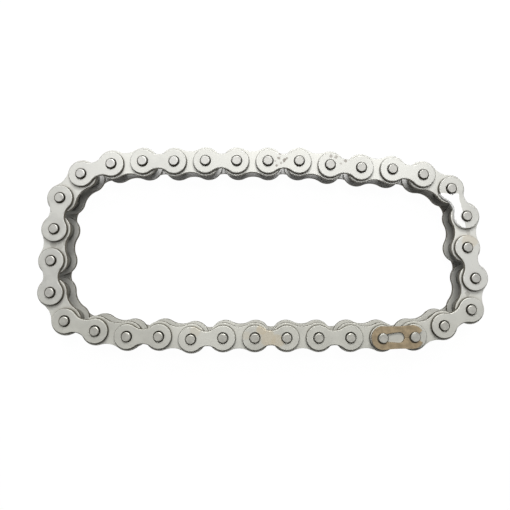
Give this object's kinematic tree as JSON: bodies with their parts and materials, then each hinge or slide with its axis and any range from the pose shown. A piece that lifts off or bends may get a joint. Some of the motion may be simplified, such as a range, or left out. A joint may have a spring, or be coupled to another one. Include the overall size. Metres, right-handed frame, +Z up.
{
  "type": "tiller drive chain",
  "caption": "Closed loop of roller chain with figure-eight plates, rollers and a spring-clip connecting link, laid flat; it carries drive between two sprockets.",
  "frame": {"origin": "middle of the loop, on the surface that it lies on", "axes": "+X along the loop's length, +Y across it, away from the connecting link's run, +Z up along the pins"},
  "size_m": [0.227, 0.1042, 0.0215],
  "materials": {
    "inner_link_steel": "satin, lightly oiled",
    "outer_link_steel": "satin, lightly oiled",
    "roller_steel": "smooth, oiled",
    "clip_spring_steel": "tan tempered spring steel"
  },
  "bodies": {
    "link_00": {"connecting_pin_plate": "outer_link_steel", "connecting_cover_plate": "outer_link_steel"},
    "link_01": {"inner_link_01": "inner_link_steel", "rollers_01": "roller_steel"},
    "link_02": {"outer_link_02": "outer_link_steel"},
    "link_03": {"inner_link_03": "inner_link_steel", "rollers_03": "roller_steel"},
    "link_04": {"outer_link_04": "outer_link_steel"},
    "link_05": {"inner_link_05": "inner_link_steel", "rollers_05": "roller_steel"},
    "link_06": {"outer_link_06": "outer_link_steel"},
    "link_07": {"inner_link_07": "inner_link_steel", "rollers_07": "roller_steel"},
    "link_08": {"outer_link_08": "outer_link_steel"},
    "link_09": {"inner_link_09": "inner_link_steel", "rollers_09": "roller_steel"},
    "link_10": {"outer_link_10": "outer_link_steel"},
    "link_11": {"inner_link_11": "inner_link_steel", "rollers_11": "roller_steel"},
    "link_12": {"outer_link_12": "outer_link_steel"},
    "link_13": {"inner_link_13": "inner_link_steel", "rollers_13": "roller_steel"},
    "link_14": {"outer_link_14": "outer_link_steel"},
    "link_15": {"inner_link_15": "inner_link_steel", "rollers_15": "roller_steel"},
    "link_16": {"outer_link_16": "outer_link_steel"},
    "link_17": {"inner_link_17": "inner_link_steel", "rollers_17": "roller_steel"},
    "link_18": {"outer_link_18": "outer_link_steel"},
    "link_19": {"inner_link_19": "inner_link_steel", "rollers_19": "roller_steel"},
    "link_20": {"outer_link_20": "outer_link_steel"},
    "link_21": {"inner_link_21": "inner_link_steel", "rollers_21": "roller_steel"},
    "link_22": {"outer_link_22": "outer_link_steel"},
    "link_23": {"inner_link_23": "inner_link_steel", "rollers_23": "roller_steel"},
    "link_24": {"outer_link_24": "outer_link_steel"},
    "link_25": {"inner_link_25": "inner_link_steel", "rollers_25": "roller_steel"},
    "link_26": {"outer_link_26": "outer_link_steel"},
    "link_27": {"inner_link_27": "inner_link_steel", "rollers_27": "roller_steel"},
    "link_28": {"outer_link_28": "outer_link_steel"},
    "link_29": {"inner_link_29": "inner_link_steel", "rollers_29": "roller_steel"},
    "link_30": {"outer_link_30": "outer_link_steel"},
    "link_31": {"inner_link_31": "inner_link_steel", "rollers_31": "roller_steel"},
    "link_32": {"outer_link_32": "outer_link_steel"},
    "link_33": {"inner_link_33": "inner_link_steel", "rollers_33": "roller_steel"},
    "clip": {"spring_clip": "clip_spring_steel"}
  },
  "joints": [
    {"name": "pivot_01", "type": "hinge", "parent": "link_01", "child": "link_00", "pos_m": [0.07487, -0.04361, 0], "axis": [0, 0, -1], "range_deg": [-55, 55]},
    {"name": "pivot_02", "type": "hinge", "parent": "link_02", "child": "link_01", "pos_m": [0.08988, -0.03845, 0], "axis": [0, 0, -1], "range_deg": [-55, 55]},
    {"name": "pivot_03", "type": "hinge", "parent": "link_03", "child": "link_02", "pos_m": [0.10363, -0.03051, 0], "axis": [0, 0, -1], "range_deg": [-55, 55]},
    {"name": "pivot_04", "type": "hinge", "parent": "link_04", "child": "link_03", "pos_m": [0.10611, -0.01483, 0], "axis": [0, 0, -1], "range_deg": [-55, 55]},
    {"name": "pivot_05", "type": "hinge", "parent": "link_05", "child": "link_04", "pos_m": [0.10254, 0.00064, 0], "axis": [0, 0, -1], "range_deg": [-27.5, 27.5]},
    {"name": "pivot_06", "type": "hinge", "parent": "link_06", "child": "link_05", "pos_m": [0.10254, 0.01651, 0], "axis": [0, 0, -1], "range_deg": [-27.5, 27.5]},
    {"name": "pivot_07", "type": "hinge", "parent": "link_07", "child": "link_06", "pos_m": [0.09508, 0.03053, 0], "axis": [0, 0, -1], "range_deg": [-55, 55]},
    {"name": "pivot_08", "type": "hinge", "parent": "link_08", "child": "link_07", "pos_m": [0.08094, 0.03774, 0], "axis": [0, 0, -1], "range_deg": [-55, 55]},
    {"name": "pivot_09", "type": "hinge", "parent": "link_09", "child": "link_08", "pos_m": [0.06531, 0.04049, 0], "axis": [0, 0, -1], "range_deg": [-55, 55]},
    {"name": "pivot_10", "type": "hinge", "parent": "link_10", "child": "link_09", "pos_m": [0.04945, 0.04133, 0], "axis": [0, 0, -1], "range_deg": [-55, 55]},
    {"name": "pivot_11", "type": "hinge", "parent": "link_11", "child": "link_10", "pos_m": [0.03364, 0.04271, 0], "axis": [0, 0, -1], "range_deg": [-55, 55]},
    {"name": "pivot_12", "type": "hinge", "parent": "link_12", "child": "link_11", "pos_m": [0.01788, 0.04464, 0], "axis": [0, 0, -1], "range_deg": [-55, 55]},
    {"name": "pivot_13", "type": "hinge", "parent": "link_13", "child": "link_12", "pos_m": [0.00201, 0.04464, 0], "axis": [0, 0, -1], "range_deg": [-55, 55]},
    {"name": "pivot_14", "type": "hinge", "parent": "link_14", "child": "link_13", "pos_m": [-0.01387, 0.04472, 0], "axis": [0, 0, -1], "range_deg": [-55, 55]},
    {"name": "pivot_15", "type": "hinge", "parent": "link_15", "child": "link_14", "pos_m": [-0.02974, 0.04472, 0], "axis": [0, 0, -1], "range_deg": [-55, 55]},
    {"name": "pivot_16", "type": "hinge", "parent": "link_16", "child": "link_15", "pos_m": [-0.04562, 0.04444, 0], "axis": [0, 0, -1], "range_deg": [-55, 55]},
    {"name": "pivot_17", "type": "hinge", "parent": "link_17", "child": "link_16", "pos_m": [-0.06149, 0.04444, 0], "axis": [0, 0, -1], "range_deg": [-55, 55]},
    {"name": "pivot_18", "type": "hinge", "parent": "link_17", "child": "link_18", "pos_m": [-0.07731, 0.04306, 0], "axis": [0, 0, 1], "range_deg": [-55, 55]},
    {"name": "pivot_19", "type": "hinge", "parent": "link_18", "child": "link_19", "pos_m": [-0.09232, 0.03789, 0], "axis": [0, 0, 1], "range_deg": [-55, 55]},
    {"name": "pivot_20", "type": "hinge", "parent": "link_19", "child": "link_20", "pos_m": [-0.10252, 0.02573, 0], "axis": [0, 0, 1], "range_deg": [-55, 55]},
    {"name": "pivot_21", "type": "hinge", "parent": "link_20", "child": "link_21", "pos_m": [-0.105, 0.01005, 0], "axis": [0, 0, 1], "range_deg": [-55, 55]},
    {"name": "pivot_22", "type": "hinge", "parent": "link_21", "child": "link_22", "pos_m": [-0.10611, -0.00578, 0], "axis": [0, 0, 1], "range_deg": [-27.5, 27.5]},
    {"name": "pivot_23", "type": "hinge", "parent": "link_22", "child": "link_23", "pos_m": [-0.10611, -0.02166, 0], "axis": [0, 0, 1], "range_deg": [-27.5, 27.5]},
    {"name": "pivot_24", "type": "hinge", "parent": "link_23", "child": "link_24", "pos_m": [-0.09866, -0.03568, 0], "axis": [0, 0, 1], "range_deg": [-55, 55]},
    {"name": "pivot_25", "type": "hinge", "parent": "link_24", "child": "link_25", "pos_m": [-0.08356, -0.04058, 0], "axis": [0, 0, 1], "range_deg": [-55, 55]},
    {"name": "pivot_26", "type": "hinge", "parent": "link_25", "child": "link_26", "pos_m": [-0.06793, -0.04334, 0], "axis": [0, 0, 1], "range_deg": [-55, 55]},
    {"name": "pivot_27", "type": "hinge", "parent": "link_26", "child": "link_27", "pos_m": [-0.05205, -0.04334, 0], "axis": [0, 0, 1], "range_deg": [-55, 55]},
    {"name": "pivot_28", "type": "hinge", "parent": "link_27", "child": "link_28", "pos_m": [-0.03624, -0.04472, 0], "axis": [0, 0, 1], "range_deg": [-55, 55]},
    {"name": "pivot_29", "type": "hinge", "parent": "link_28", "child": "link_29", "pos_m": [-0.02037, -0.04417, 0], "axis": [0, 0, 1], "range_deg": [-55, 55]},
    {"name": "pivot_30", "type": "hinge", "parent": "link_29", "child": "link_30", "pos_m": [-0.0045, -0.04417, 0], "axis": [0, 0, 1], "range_deg": [-55, 55]},
    {"name": "pivot_31", "type": "hinge", "parent": "link_30", "child": "link_31", "pos_m": [0.01138, -0.04417, 0], "axis": [0, 0, 1], "range_deg": [-55, 55]},
    {"name": "pivot_32", "type": "hinge", "parent": "link_31", "child": "link_32", "pos_m": [0.02725, -0.04417, 0], "axis": [0, 0, 1], "range_deg": [-55, 55]},
    {"name": "pivot_33", "type": "hinge", "parent": "link_32", "child": "link_33", "pos_m": [0.04313, -0.04417, 0], "axis": [0, 0, 1], "range_deg": [-55, 55]},
    {"name": "clip_slide", "type": "slide", "parent": "link_00", "child": "clip", "axis": [-0.9994, -0.0349, 0], "range_m": [0, 0.0072]}
  ],
  "couplings": [
    {"joint": "pivot_01", "follows": "pivot_18", "ratio": 1},
    {"joint": "pivot_02", "follows": "pivot_18", "ratio": -1},
    {"joint": "pivot_03", "follows": "pivot_20", "ratio": 1},
    {"joint": "pivot_04", "follows": "pivot_20", "ratio": -1},
    {"joint": "pivot_05", "follows": "pivot_24", "ratio": -0.5},
    {"joint": "pivot_06", "follows": "pivot_24", "ratio": -0.5},
    {"joint": "pivot_07", "follows": "pivot_24", "ratio": 1},
    {"joint": "pivot_08", "follows": "pivot_25", "ratio": 1},
    {"joint": "pivot_09", "follows": "pivot_25", "ratio": -1},
    {"joint": "pivot_11", "follows": "pivot_10", "ratio": -1},
    {"joint": "pivot_13", "follows": "pivot_12", "ratio": -1},
    {"joint": "pivot_15", "follows": "pivot_14", "ratio": -1},
    {"joint": "pivot_17", "follows": "pivot_16", "ratio": -1},
    {"joint": "pivot_19", "follows": "pivot_18", "ratio": -1},
    {"joint": "pivot_21", "follows": "pivot_20", "ratio": -1},
    {"joint": "pivot_22", "follows": "pivot_24", "ratio": -0.5},
    {"joint": "pivot_23", "follows": "pivot_24", "ratio": -0.5},
    {"joint": "pivot_26", "follows": "pivot_25", "ratio": -1},
    {"joint": "pivot_27", "follows": "pivot_10", "ratio": 1},
    {"joint": "pivot_28", "follows": "pivot_10", "ratio": -1},
    {"joint": "pivot_29", "follows": "pivot_12", "ratio": 1},
    {"joint": "pivot_30", "follows": "pivot_12", "ratio": -1},
    {"joint": "pivot_31", "follows": "pivot_14", "ratio": 1},
    {"joint": "pivot_32", "follows": "pivot_14", "ratio": -1},
    {"joint": "pivot_33", "follows": "pivot_16", "ratio": 1}
  ]
}
